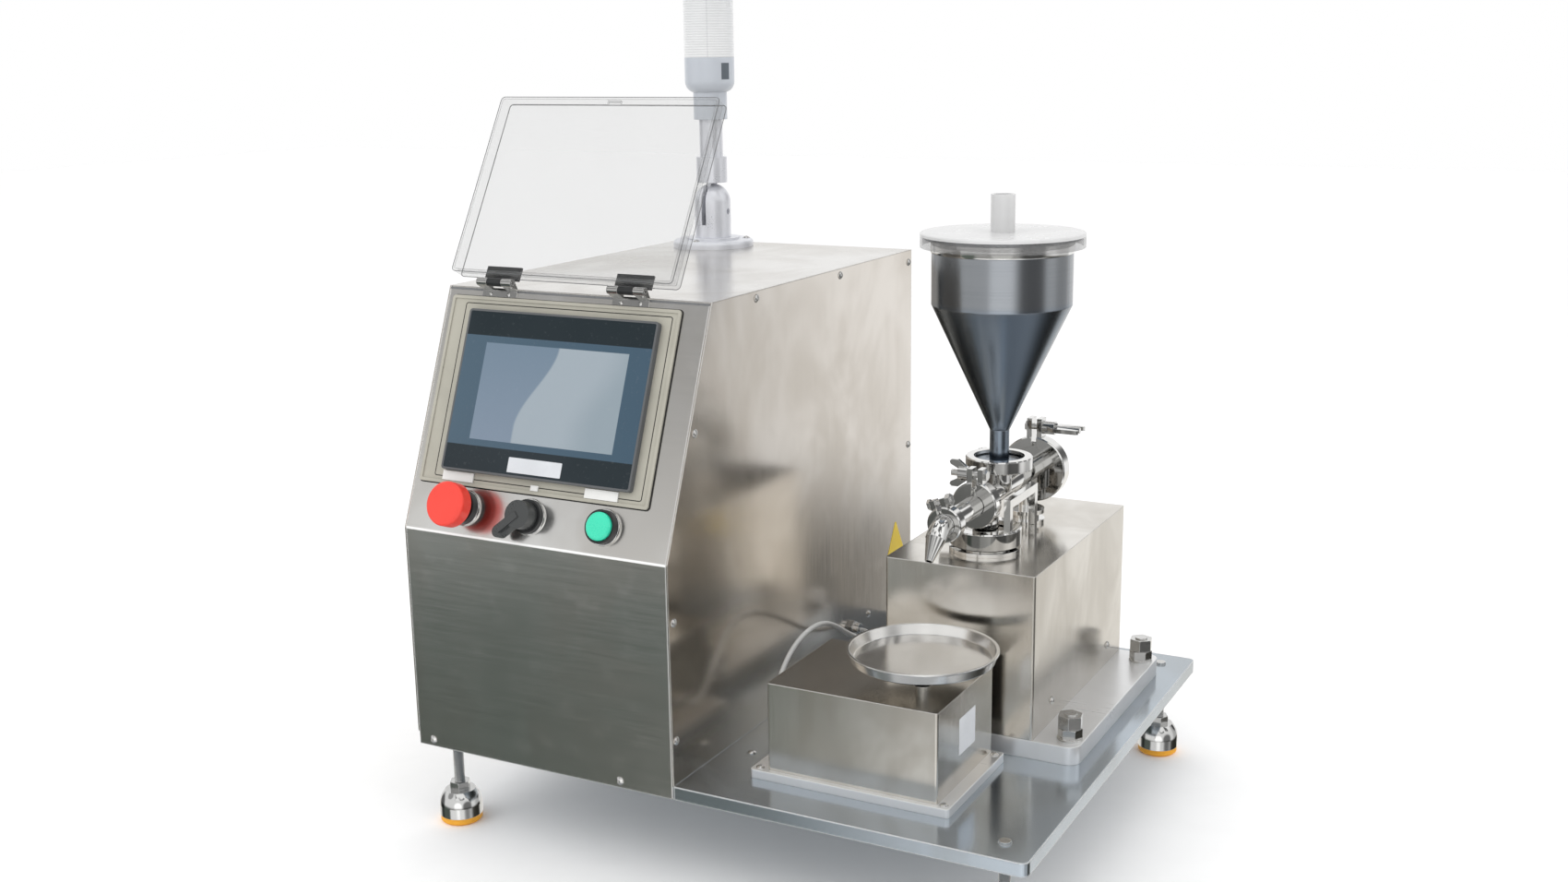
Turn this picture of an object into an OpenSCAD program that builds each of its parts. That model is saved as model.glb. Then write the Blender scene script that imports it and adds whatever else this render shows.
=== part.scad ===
/* [Cabinet] */
// Width of the control cabinet
cab_w = 280; // [270:1:300]
// Depth of the control cabinet, front to back
cab_d = 500; // [490:1:510]
// Height of the cabinet top above the underside of the base plate
cab_h = 420; // [416:1:440]
// Height of the bend between the upright front and the sloped panel
knee_z = 210; // [206:1:214]
// Setback of the top front edge behind the upright front
slope_y = 83.5; // [80:0.5:88]
// Thickness of the cabinet sheet
skin_t = 1.5; // [1:0.5:2]

/* [Base] */
// Length of the base plate, left to right
plate_w = 600; // [590:1:620]
// Thickness of the base plate
plate_t = 12; // [10:1:12]
// Corner radius of the base plate
plate_r = 7; // [3:1:12]
// Height from the floor to the underside of the base plate
foot_h = 83; // [75:1:100]
// Radius of the domed feet and their pads
foot_r = 20; // [18:1:24]
// Inset of the left feet
foot_in_l = 23; // [22:1:40]
// Inset of the right feet
foot_in_r = 28.5; // [24:0.5:34]

/* [Control lid] */
// Width of the clear lid
lid_w = 236; // [232:1:240]
// Length of the clear lid from its hinge axis to its free edge
lid_len = 182; // [178:1:183]
// Lean of the open lid behind the vertical
lid_lean = 30; // [20:1:35]

/* [Stack light] */
// Centre of the stack light from the left of the cabinet
tower_x = 65; // [60:1:80]
// Centre of the stack light from the front of the cabinet
tower_y = 452; // [440:1:454]
// Radius of the light housing and lens
tower_r = 26.5; // [24:0.5:28]
// Height of the lens above its housing
lens_h = 79; // [60:1:90]

/* [Weigher] */
// Height of the weigher box cover
scale_h = 80; // [76:1:82]
// Radius of the weighing dish
dish_r = 65; // [60:1:70]

/* [Pump and hopper] */
// Height of the pump tube axis above the underside of the base plate
tube_z = 228; // [227:0.5:229]
// Radius of the hopper body
hop_r = 63.5; // [56:0.5:70]
// Piston radius
piston_r = 17.95; // [17.9:0.01:17.99]
// Piston stroke
stroke = 30; // [20:1:30]

/* [Hidden] */
$fn = 48;
eps = 0.02;
run = 0.06;

// Sloped panel: its tilt from the vertical and its length
tilt = atan2(slope_y, cab_h - knee_z);
panel_len = norm([slope_y, cab_h - knee_z]);

// Switches on the sloped panel: across from the left, and up from the bend
stop_u = 63.5;
selector_u = 134;
start_u = 212.5;
switch_v = 24.5;
stop_cap_r = 20;
stop_cap_fillet = 2.5;
stop_cap_face = 31;

// Screen and its frame on the sloped panel
frame_u = [8, 253];
frame_v = [44, 217];
screen_u = [33.6, 235.5];
screen_v = [56.5, 204.5];

// Lid hinge axis, beyond the panel's top edge and proud of it
hinge_v = 229;
hinge_off = 10.6;
hinge_u = [59, 200];
hinge_len = 38;
knuckle_r = 3.8;
pin_r = 2;
lid_u = 12;
lid_wall = 2.5;
lid_deep = 14.5;
lid_back = -7;

// Screws
screw_r = 3.8;
screw_h = 2.2;

// Weigher layout
scale_x = [344.6, 503];
scale_y = [51, 175];
scale_floor = plate_t + 8;
post_x = 465;
dish_z = 121.7;
post_y = 108;

// Drive unit layout
drive_x = [392.6, 535];
drive_y = [190, 450];
drive_floor = plate_t + 17;
drive_top = 180.7;
drive_t = 2;

// Pump layout: one plane at pump_x holds the seat, the hopper, the tube and the screw
pump_x = 464;
seat_y = 253;
hop_y = 285;
mid_y = 230;
front_y = 160;
rear_y = 385.5;
rest_y = 357;
screw_y = 320;
tube_r = 9.5;
seat_clamp_z = 194.4;
hop_clamp_z = 255.5;

// Bounding extents of the whole machine, for an origin under its middle
low_x = -screw_h;
high_x = plate_w;
low_y = switch_v * sin(tilt) - (stop_cap_r - stop_cap_fillet) * sin(tilt)
  - (stop_cap_face - stop_cap_fillet) * cos(tilt) - stop_cap_fillet;
high_y = cab_d + 3;
mid_x = (low_x + high_x) / 2;
mid_y0 = (low_y + high_y) / 2;

// Weigher cable: chosen points from the weigher gland to the cabinet gland
cable_r = 2.3;
cable_pts = [
  [328, 110, 42], [322, 111, 44], [317, 116, 53], [315, 126, 67], [315, 138, 81], [316, 154, 93],
  [317, 174, 100], [317, 196, 101], [315, 220, 96], [313, 244, 86], [311, 268, 73], [309, 292, 60],
  [307, 314, 50], [305, 332, 45], [301, 345, 44], [295, 350, 44], [290, 350, 44]
];

// ---------------------------------------------------------------- placing

module seat() translate([-mid_x, -mid_y0, foot_h]) children();

// Local frame on the sloped panel: x across, y up the slope, z outward
module on_panel(u, v)
  translate([u, v * sin(tilt), knee_z + v * cos(tilt)]) rotate([90 - tilt, 0, 0]) children();

// Local frame of the open lid: x across, y from the hinge to the free edge, z towards the front
module on_lid()
  on_panel(0, hinge_v) translate([0, 0, hinge_off]) rotate([tilt - lid_lean, 0, 0]) children();

// Local frame of a profile drawn in the machine's y and z, extruded along x
module along_x(x, len) translate([x, 0, 0]) rotate([90, 0, 90]) linear_extrude(len) children();

// ---------------------------------------------------------------- shared shapes

module round_rect(w, d, r) {
  translate([r, 0]) square([w - 2 * r, d]);
  translate([0, r]) square([w, d - 2 * r]);
  for (x = [r, w - r], y = [r, d - r]) translate([x, y]) circle(r);
}

module tube(ro, ri, h) difference() {
  cylinder(h = h, r = ro);
  translate([0, 0, -1]) cylinder(h = h + 2, r = ri);
}

module button_head() difference() {
  intersection() {
    cylinder(h = screw_h, r = screw_r);
    translate([0, 0, screw_h - 5.2]) sphere(r = 5.2);
  }
  translate([0, 0, screw_h - 1.1]) cylinder(h = 2, r = 1.45, $fn = 6);
}

// Split pipe clamp about +z, with a groove for two flanges and two ears towards +x
module pipe_clamp(ro, groove_r, side_r, w, ear_l) {
  gap = 5;
  difference() {
    union() {
      rotate_extrude() polygon([
        [side_r, -w / 2], [ro - 1, -w / 2], [ro, -w / 2 + 1], [ro, w / 2 - 1], [ro - 1, w / 2],
        [side_r, w / 2], [side_r, w / 4], [groove_r, w / 4 - 1], [groove_r, 1 - w / 4], [side_r, -w / 4]
      ]);
      for (s = [-1, 1]) translate([ro - 1.5, s * (gap / 2 + 2.5) - 2.5, -w / 2 + 1.5])
        cube([ear_l + 1.5, 5, w - 3]);
    }
    translate([side_r - 4, -gap / 2, -w]) cube([ro + ear_l, gap, 2 * w]);
    translate([ro + ear_l / 2, 12, 0]) rotate([90, 0, 0]) cylinder(h = 24, r = 3);
  }
}

// Wing nut about +z, its wings swept away from its seat
module wing_nut(hub_r, hub_h, reach, spread) difference() {
  union() {
    cylinder(h = hub_h, r = hub_r);
    for (s = [0, 180]) rotate([90, 0, s]) translate([0, 0, -2]) linear_extrude(4) polygon([
      [hub_r - 3, hub_h - 9], [hub_r, hub_h - 7], [spread, hub_h + 1], [spread, reach - 2],
      [spread - 2, reach], [spread - 4.5, reach - 1], [hub_r - 3, hub_h - 1]
    ]);
  }
  translate([0, 0, -1]) cylinder(h = reach + 2, r = 3 + run);
}

module hex_nut(af, h, ri) difference() {
  intersection() {
    cylinder(h = h, r = af / sqrt(3), $fn = 6);
    translate([0, 0, h / 2]) sphere(r = norm([af * 0.56, h / 2]));
  }
  translate([0, 0, -1]) cylinder(h = h + 2, r = ri);
}

// ---------------------------------------------------------------- base and feet

foot_spots = [
  [foot_in_l, 27], [foot_in_l, cab_d - 27], [plate_w - foot_in_r, 28], [plate_w - foot_in_r, cab_d - 14 - 13]
];
bolt_spots = [[365, 211], [365, 430], [563, 211], [562.5, 430]];

module base_plate() seat() color("lightsteelblue") difference() {
  linear_extrude(plate_t) round_rect(plate_w, cab_d, plate_r);
  translate([-1, -1, -1]) cube([cab_w + 1, skin_t + 1, plate_t + 2]);
  for (p = foot_spots) translate([p[0], p[1], -1]) cylinder(h = plate_t + 2, r = 5 + run);
  for (p = bolt_spots) translate([p[0], p[1], -1]) cylinder(h = plate_t + 2, r = 6.3);
}

module foot_studs() seat() color("silver") for (p = foot_spots) translate([p[0], p[1], 0]) {
  translate([0, 0, -60]) cylinder(h = 60 + plate_t + 2, r = 5);
  translate([0, 0, -52]) hex_nut(17, 8, 5 - eps);
}

module foot_domes() seat() color("gainsboro") for (p = foot_spots)
  translate([p[0], p[1], -foot_h + 7]) rotate_extrude() difference() {
    union() {
      square([foot_r, 10]);
      intersection() {
        translate([0, 10]) circle(foot_r);
        square([foot_r, foot_h - 59]);
      }
    }
    translate([-60, -60]) square([60, 200]);
    translate([0, foot_h - 67]) square([5 + run, 60]);
  }

module foot_pads() seat() color("orange") for (p = foot_spots) translate([p[0], p[1], -foot_h])
  rotate_extrude() polygon([
    [0, 0], [foot_r - 2.5, 0], [foot_r - 0.5, 2], [foot_r - 0.5, 5], [foot_r, 7], [0, 7]
  ]);

// ---------------------------------------------------------------- cabinet

module front_skin() seat() color("silver") difference() {
  along_x(skin_t, cab_w - 2 * skin_t) polygon([
    [0, 0], [0, knee_z], [slope_y - skin_t * tan(tilt), cab_h - skin_t],
    [slope_y - skin_t * tan(tilt) + skin_t / cos(tilt), cab_h - skin_t],
    [skin_t, knee_z - skin_t * tan(tilt / 2)], [skin_t, 0]
  ]);
  for (u = [stop_u, selector_u, start_u])
    on_panel(u, switch_v) translate([0, 0, -6]) cylinder(h = 12, r = 11.2);
  on_panel(0, 0) translate([screen_u[0] + 5, screen_v[0] + 5, -9])
    cube([screen_u[1] - screen_u[0] - 10, screen_v[1] - screen_v[0] - 10, 18]);
}

module top_panel() seat() color("gainsboro") difference() {
  along_x(skin_t, cab_w - 2 * skin_t) polygon([
    [slope_y - skin_t * tan(tilt), cab_h - skin_t], [slope_y, cab_h], [cab_d, cab_h],
    [cab_d, cab_h - skin_t]
  ]);
  translate([tower_x, tower_y, cab_h - 5]) cylinder(h = 10, r = 6);
}

module side_sheet(x) along_x(x, skin_t) polygon([
  [0, plate_t], [0, knee_z], [slope_y, cab_h], [cab_d, cab_h], [cab_d, plate_t]
]);

module side_panel_left() seat() color("silver") side_sheet(0);

module side_panel_right() seat() color("tan") difference() {
  side_sheet(cab_w - skin_t);
  translate([cab_w - 5, 350, 44]) rotate([0, 90, 0]) cylinder(h = 10, r = 6.2);
}

module back_panel() seat() color("silver") difference() {
  translate([skin_t, cab_d - skin_t, plate_t]) cube([cab_w - 2 * skin_t, skin_t, cab_h - plate_t - skin_t]);
  translate([60.5, cab_d - 5, 50.5]) cube([49, 10, 25]);
  for (i = [0:7], x = [150, 205]) translate([x, cab_d - 5, 300 + i * 10]) cube([40, 10, 4.5]);
}

side_screws = [
  [49.5, 313], [7, 158], [6, 52], [161, 413], [329.5, 413], [390.5, 47.5], [493, 407], [493, 209]
];
lip_screws = [[17.5, 6.5], [224.5, 6.5]];
back_screws = [[12, 30], [12, 220], [12, 405], [268, 30], [268, 220], [268, 405]];
scale_screws = [[336, 53], [336, 167], [508.6, 53], [508.6, 167]];
housing_screws = [[241, 49], [406, 48]];

module button_screws() seat() color("darkgray") {
  for (s = side_screws) {
    translate([cab_w, s[0], s[1]]) rotate([0, 90, 0]) button_head();
    translate([0, s[0], s[1]]) rotate([0, -90, 0]) button_head();
  }
  for (s = lip_screws) translate([s[0], 0, s[1]]) rotate([90, 0, 0]) button_head();
  for (s = back_screws) translate([s[0], cab_d, s[1]]) rotate([-90, 0, 0]) button_head();
  for (s = scale_screws) translate([s[0], s[1], scale_floor]) button_head();
  for (s = housing_screws) {
    translate([drive_x[1], s[0], s[1]]) rotate([0, 90, 0]) button_head();
    translate([drive_x[0], s[0], s[1]]) rotate([0, -90, 0]) button_head();
  }
  for (a = [30, 150, 270]) translate([tower_x + 36 * cos(a), tower_y + 36 * sin(a), cab_h + 8]) button_head();
  translate([305, 93, plate_t]) button_head();
  for (u = hinge_u, s = [-10, 10]) on_panel(u + s, 220) translate([0, 0, 1.6]) scale(0.5) button_head();
}

// ---------------------------------------------------------------- screen

module screen_frame() seat() color("beige") on_panel(0, 0) difference() {
  translate([frame_u[0], frame_v[0], 0]) union() {
    linear_extrude(1.5) round_rect(frame_u[1] - frame_u[0], frame_v[1] - frame_v[0], 3);
    linear_extrude(2.5) difference() {
      round_rect(frame_u[1] - frame_u[0], frame_v[1] - frame_v[0], 3);
      translate([3, 3]) round_rect(frame_u[1] - frame_u[0] - 6, frame_v[1] - frame_v[0] - 6, 1);
    }
  }
  translate([screen_u[0] + 5, screen_v[0] + 5, -1])
    cube([screen_u[1] - screen_u[0] - 10, screen_v[1] - screen_v[0] - 10, 5]);
}

module lid_catches() seat() color("whitesmoke") on_panel(0, 0) {
  for (u = [34, 188]) translate([u, 47.2, 1.5]) cube([34, 8.6, 1.4]);
  translate([131, 47.2, 1.5]) cube([8, 5, 1.2]);
}

module screen_housing() seat() color([0.2, 0.22, 0.24]) on_panel(0, 0) difference() {
  union() {
    translate([screen_u[0], screen_v[0], 1.5]) linear_extrude(5.5)
      round_rect(screen_u[1] - screen_u[0], screen_v[1] - screen_v[0], 3);
    translate([screen_u[0] + 6, screen_v[0] + 6, -36])
      cube([screen_u[1] - screen_u[0] - 12, screen_v[1] - screen_v[0] - 12, 38]);
  }
  translate([screen_u[0] + 2, screen_v[0] + 2, 5.8]) linear_extrude(3)
    round_rect(screen_u[1] - screen_u[0] - 4, screen_v[1] - screen_v[0] - 4, 1.5);
}

module screen_glass() seat() color([0.35, 0.45, 0.52]) on_panel(0, 0)
  translate([screen_u[0] + 2, screen_v[0] + 2, 5.8]) linear_extrude(1.2)
    round_rect(screen_u[1] - screen_u[0] - 4, screen_v[1] - screen_v[0] - 4, 1.5);

// ---------------------------------------------------------------- lid and hinges

module knuckle(u, len) translate([u, 0, 0]) rotate([0, 90, 0]) tube(knuckle_r, pin_r + run, len);

module hinge_leaves() seat() color("dimgray") for (h = hinge_u) on_panel(h - hinge_len / 2, 0) {
  difference() {
    union() {
      translate([0, 217.6, 0]) cube([hinge_len, 8, 1.6]);
      for (u = [0, hinge_len - 11]) {
        translate([u, hinge_v, hinge_off]) rotate([0, 90, 0]) cylinder(h = 11, r = knuckle_r);
        translate([u, 0, 0]) rotate([90, 0, 90]) linear_extrude(11) polygon([
          [223.5, 1.2], [225.6, 1.2], [hinge_v + knuckle_r - 0.4, hinge_off - 1],
          [hinge_v - knuckle_r + 0.2, hinge_off]
        ]);
      }
    }
    translate([-1, hinge_v, hinge_off]) rotate([0, 90, 0]) cylinder(h = hinge_len + 2, r = pin_r + run);
  }
}

module hinge_pins() seat() color("silver") for (h = hinge_u) on_panel(h - hinge_len / 2, hinge_v)
  translate([0, 0, hinge_off]) rotate([0, 90, 0]) cylinder(h = hinge_len, r = pin_r);

module lid_leaves() seat() color([0.1, 0.1, 0.1]) for (h = hinge_u)
  on_lid() translate([h - hinge_len / 2, 0, 0]) difference() {
    union() {
      translate([11.4, 0, 0]) rotate([0, 90, 0]) cylinder(h = hinge_len - 22.8, r = knuckle_r);
      translate([11.4, 0, 0]) rotate([90, 0, 90]) linear_extrude(hinge_len - 22.8) polygon([
        [-3, -2], [3, -2], [5.7, lid_back], [7.5, lid_back], [7.5, lid_back - 2], [2, lid_back - 2]
      ]);
      translate([0, 5, lid_back - 2]) cube([hinge_len, 13, 2]);
    }
    translate([-1, 0, 0]) rotate([0, 90, 0]) cylinder(h = hinge_len + 2, r = pin_r + run);
  }

module control_lid() seat() color([0.85, 0.9, 0.92, 0.4]) on_lid() translate([lid_u, 6, lid_back]) {
  difference() {
    linear_extrude(lid_deep) round_rect(lid_w, lid_len - 6, 4);
    translate([lid_wall, lid_wall, 2.5]) linear_extrude(lid_deep)
      round_rect(lid_w - 2 * lid_wall, lid_len - 6 - 2 * lid_wall, 2);
  }
  translate([lid_w / 2 - 7, lid_len - 6 - 1, 0]) cube([14, 4, 2.5]);
}

// ---------------------------------------------------------------- switches

module switch_collars() seat() color([0.12, 0.12, 0.13]) {
  on_panel(stop_u, switch_v) {
    tube(15, 8 + run, 9);
    translate([0, 0, -30]) tube(11, 8 + run, 30 + eps);
  }
  on_panel(selector_u, switch_v) {
    tube(15, 5 + run, 6.5);
    translate([0, 0, -30]) tube(11, 5 + run, 30 + eps);
  }
  on_panel(start_u, switch_v) {
    tube(14.8, 12.7, 8.5);
    tube(14, 8 + run, 1.5);
    translate([0, 0, -30]) tube(11, 8 + run, 30 + eps);
  }
}

module stop_stem() seat() color([0.15, 0.15, 0.15]) on_panel(stop_u, switch_v) {
  translate([0, 0, -24]) cylinder(h = 41, r = 8);
  translate([0, 0, 16]) cylinder(h = 10, r = 5);
}

module stop_cap() seat() color("red") on_panel(stop_u, switch_v) difference() {
  rotate_extrude() difference() {
    union() {
      translate([0, 17]) square([stop_cap_r, stop_cap_face - stop_cap_fillet - 17]);
      square_top = stop_cap_r - stop_cap_fillet;
      translate([0, 17]) square([square_top, stop_cap_face - 17]);
      translate([square_top, stop_cap_face - stop_cap_fillet]) circle(stop_cap_fillet);
    }
    translate([16, 10]) square([10, 8.5]);
  }
  translate([0, 0, 16]) cylinder(h = 10.4, r = 5 + run);
}

module selector_knob() seat() color([0.08, 0.08, 0.08]) on_panel(selector_u, switch_v) {
  translate([0, 0, -24]) cylinder(h = 32, r = 5);
  translate([0, 0, 7]) cylinder(h = 13, r = 12.5);
  rotate(222) {
    translate([0, -5.5, 9]) cube([25, 11, 9]);
    translate([25, 0, 9]) cylinder(h = 9, r = 5.5);
    translate([0, -3, 17]) cube([24, 6, 4]);
  }
}

module start_button() seat() color([0.2, 0.85, 0.65]) on_panel(start_u, switch_v) {
  translate([0, 0, -24]) cylinder(h = 29, r = 8);
  translate([0, 0, 5]) rotate_extrude() polygon([[0, 0], [12.3, 0], [12.3, 5.6], [10.9, 7], [0, 7]]);
}

// ---------------------------------------------------------------- electrics

// The mounting plate with its power supply, controller and relay, and the switches' contact blocks
module electrics() seat() {
  color("whitesmoke") for (u = [stop_u, selector_u, start_u])
    on_panel(u, switch_v) translate([-15, -18, -62]) cube([30, 36, 32]);
  color("lightgray") translate([14, 120, 40]) cube([2, 350, 340]);
  color("gray") translate([16, 140, 250]) cube([50, 130, 110]);
  color("dimgray") translate([16, 320, 100]) cube([95, 60, 170]);
  color("darkgray") translate([16, 150, 70]) cube([40, 120, 60]);
}

module power_inlet() seat() color([0.12, 0.12, 0.12]) difference() {
  union() {
    translate([55, cab_d, 48]) cube([60, 3, 30]);
    translate([61, cab_d - 32, 51]) cube([48, 32 + eps, 24]);
  }
  translate([80, cab_d - 18, 54]) cube([25, 30, 17]);
  translate([64, cab_d - 9, 53]) cube([13, 20, 20]);
}

module power_rocker() seat() color([0.7, 0.1, 0.1]) translate([64.5, cab_d - 3, 63]) rotate([8, 0, 0])
  rotate([90, 0, 90]) {
    linear_extrude(12)
      polygon([[-3.2, -1.5], [-3.2, 1.5], [0, 8.6], [3, 8.6], [1.8, 0], [3, -8.6], [0, -8.6]]);
    translate([0, 0, -0.4]) cylinder(h = 12.8, r = 1.6);
  }

// ---------------------------------------------------------------- stack light

pivot_z = 458;
collar_z = 489;
socket_z = 556;
bowl_z = 584;
lens_z = 621;

module tower_flange() seat() color("lightgray")
  translate([tower_x, tower_y, cab_h]) rotate_extrude() difference() {
  union() {
    square([43.5, 4]);
    square([39.5, 8]);
    translate([39.5, 4]) circle(4);
    square([29, 10]);
  }
  translate([-60, -60]) square([60, 200]);
  square([6, 30]);
}

module tower_bracket() seat() color("silver") translate([tower_x, tower_y, 0]) difference() {
  union() {
    translate([0, 0, cab_h + 10]) cylinder(h = 38, r = 19.5);
    translate([0, 0, cab_h + 48]) sphere(r = 19.5);
  }
  translate([-2.6, -30, 444]) cube([5.2, 39, 60]);
  translate([-30, 0, pivot_z]) rotate([0, 90, 0]) cylinder(h = 60, r = 3 + run);
}

module tower_collar() seat() color("lightgray") translate([tower_x, tower_y, 0]) {
  difference() {
    union() {
      translate([0, 0, collar_z]) cylinder(h = 27, r = 16.5);
      translate([-2.3, -7, pivot_z]) cube([4.6, 14, collar_z - pivot_z + 2]);
      translate([-2.3, 0, pivot_z]) rotate([0, 90, 0]) cylinder(h = 4.6, r = 7);
      translate([-16, 0, pivot_z]) rotate([0, 90, 0]) cylinder(h = 32, r = 3);
    }
    translate([0, 0, collar_z + 4]) cylinder(h = 60, r = 11);
  }
  translate([0, 0, collar_z + 27]) tube(12.5, 11, 50);
}

module tower_housing() seat() color("lightslategray")
  translate([tower_x, tower_y, 0]) rotate_extrude() difference() {
  union() {
    translate([0, socket_z]) square([18, bowl_z - socket_z + 4]);
    translate([0, bowl_z + 12]) square([tower_r, lens_z - bowl_z - 12]);
    translate([0, bowl_z]) square([tower_r - 12, 14]);
    translate([tower_r - 12, bowl_z + 12]) circle(12);
  }
  translate([-60, 400]) square([60, 400]);
  translate([0, socket_z - 1]) square([12.5 + eps, 12]);
  translate([0, socket_z]) square([8, 60]);
  translate([0, bowl_z + 8]) square([tower_r - 2.5, 60]);
}

module tower_lens() seat() color([0.9, 0.92, 0.95, 0.5]) translate([tower_x, tower_y, lens_z]) rotate_extrude()
  difference() {
    union() {
      square([tower_r, lens_h - 6]);
      square([tower_r - 6, lens_h]);
      translate([tower_r - 6, lens_h - 6]) circle(6);
    }
    translate([-60, -60]) square([60, 300]);
    square([tower_r - 2, lens_h - 7]);
    translate([0, -20]) square([60, 20]);
  }

module tower_core() seat() color("whitesmoke") translate([tower_x, tower_y, lens_z - 4]) {
  cylinder(h = 4, r = tower_r - 2.5 - eps);
  translate([0, 0, 3]) cylinder(h = lens_h - 14, r = 10);
}

// ---------------------------------------------------------------- weigher

module scale_plate() seat() color("whitesmoke") translate([329, 46.4, plate_t]) linear_extrude(8)
  round_rect(186, 127.6 + 1.4, 3);

module box_cover(x, y, z0, z1, t) difference() {
  translate([x[0], y[0], z0]) linear_extrude(z1 - z0) round_rect(x[1] - x[0], y[1] - y[0], 2);
  translate([x[0] + t, y[0] + t, z0 - 1]) cube([x[1] - x[0] - 2 * t, y[1] - y[0] - 2 * t, z1 - z0 + 1 - t]);
}

module scale_cover() seat() color("gray") difference() {
  box_cover(scale_x, scale_y, scale_floor, scale_floor + scale_h, 1.5);
  translate([post_x, post_y, scale_floor + scale_h - 5]) cylinder(h = 10, r = 8.5);
  translate([scale_x[0] - 5, 110, 42]) rotate([0, 90, 0]) cylinder(h = 10, r = 6.2);
}

module load_cell() seat() color("lightgray") {
  translate([358, post_y - 15, scale_floor]) cube([30, 30, 10]);
  difference() {
    translate([356, post_y - 15, scale_floor + 10]) cube([126, 30, 24]);
    for (x = [404, 432])
      translate([x, post_y + 20, scale_floor + 22]) rotate([90, 0, 0]) cylinder(h = 40, r = 8);
    translate([404, post_y - 20, scale_floor + 18]) cube([28, 40, 8]);
  }
}

module scale_post() seat() color("silver") translate([post_x, post_y, 0]) {
  translate([0, 0, scale_floor + 34]) cylinder(h = dish_z - scale_floor - 34, r = 6);
  translate([0, 0, dish_z - 3]) cylinder(h = 3, r = 16);
}

module scale_dish() seat() color("silver") translate([post_x, post_y, dish_z]) rotate_extrude() polygon([
  [0, 0], [dish_r - 5, 0], [dish_r - 3.4, 1.2], [dish_r - 1.2, 9], [dish_r, 9], [dish_r, 10.3],
  [dish_r - 2.6, 10.3], [dish_r - 5.6, 1.5], [0, 1.5]
]);

// Gland pointing along +z: a nose, a hex body and a threaded shank with its nut inside
module gland() difference() {
  union() {
    translate([0, 0, 0]) cylinder(h = 4, r = 9, $fn = 6);
    translate([0, 0, 4]) cylinder(h = 6, r = 6.8);
    translate([0, 0, -6]) cylinder(h = 6, r = 6);
    translate([0, 0, -5.5]) cylinder(h = 4, r = 9, $fn = 6);
  }
  translate([0, 0, -8]) cylinder(h = 20, r = 2.6);
}

module cable_glands() seat() color([0.15, 0.15, 0.15]) {
  translate([scale_x[0], 110, 42]) rotate([0, -90, 0]) gland();
  translate([cab_w, 350, 44]) rotate([0, 90, 0]) gland();
}

// Swept cable: a ring of sides at every point, square to the path there
function unit(v) = v / norm(v);
function heading(p, i) = unit(p[min(i + 1, len(p) - 1)] - p[max(i - 1, 0)]);
function spline(p, i, t) = let (
    a = p[max(i - 1, 0)], b = p[i], c = p[min(i + 1, len(p) - 1)], d = p[min(i + 2, len(p) - 1)]
  ) 0.5 * ((2 * b) + (c - a) * t + (2 * a - 5 * b + 4 * c - d) * t * t + (3 * b - a - 3 * c + d) * t * t * t);
function dense(p, n) = [
  for (i = [0:len(p) - 2], k = [0:n - 1]) spline(p, i, k / n), p[len(p) - 1]
];
function ring_at(p, i, r, sides) = let (
    h = i == 0 || i == len(p) - 1 ? [i == 0 ? -1 : -1, 0, 0] : heading(p, i),
    s = unit(cross(h, [0.05, 0.1, 1])), w = cross(s, h)
  ) [for (k = [0:sides - 1]) p[i] + r * (cos(k * 360 / sides) * s + sin(k * 360 / sides) * w)];

module sweep(p, r, sides) {
  n = len(p);
  polyhedron(
    points = [for (i = [0:n - 1]) each ring_at(p, i, r, sides)],
    faces = [
      [for (k = [0:sides - 1]) k],
      for (i = [0:n - 2], k = [0:sides - 1])
        [i * sides + k, (i + 1) * sides + k, (i + 1) * sides + (k + 1) % sides, i * sides + (k + 1) % sides],
      [for (k = [sides - 1:-1:0]) (n - 1) * sides + k]
    ]
  );
}

module scale_cable() seat() color("gainsboro") sweep(dense(cable_pts, 2), cable_r, 10);

// ---------------------------------------------------------------- drive unit

module drive_plate() seat() color("lightgray") difference() {
  translate([351, drive_y[0], plate_t]) linear_extrude(17)
    round_rect(225.5, drive_y[1] - drive_y[0], 12);
  for (p = bolt_spots) translate([p[0], p[1], plate_t - 1]) cylinder(h = 20, r = 6.3);
}

module drive_bolts() seat() color("silver") for (p = bolt_spots) translate([p[0], p[1], 0]) {
  translate([0, 0, -9]) cylinder(h = 9, r = 9, $fn = 6);
  translate([0, 0, -1]) cylinder(h = drive_floor + 25, r = 6);
  translate([0, 0, drive_floor]) tube(11.5, 6 - eps, 1.5);
  translate([0, 0, drive_floor + 1.4]) rotate([0, 0, 12]) hex_nut(19, 9, 6 - eps);
  translate([0, 0, drive_floor + 10.3]) tube(9, 6 - eps, 1);
  translate([0, 0, drive_floor + 11.2]) rotate([0, 0, 40]) hex_nut(20, 11.5, 6 - eps);
}

module drive_housing() seat() color("gray") difference() {
  box_cover(drive_x, drive_y, drive_floor, drive_top, drive_t);
  translate([pump_x, seat_y, drive_top - 10]) cylinder(h = 20, r = 22.6);
}

module drive_motor() seat() color([0.15, 0.15, 0.16]) difference() {
  translate([pump_x - 28.5, screw_y - 28.5, drive_floor]) cube([57, 57, 56]);
  translate([pump_x, screw_y, drive_floor + 30]) cylinder(h = 40, r = 4 + run);
}

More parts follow.
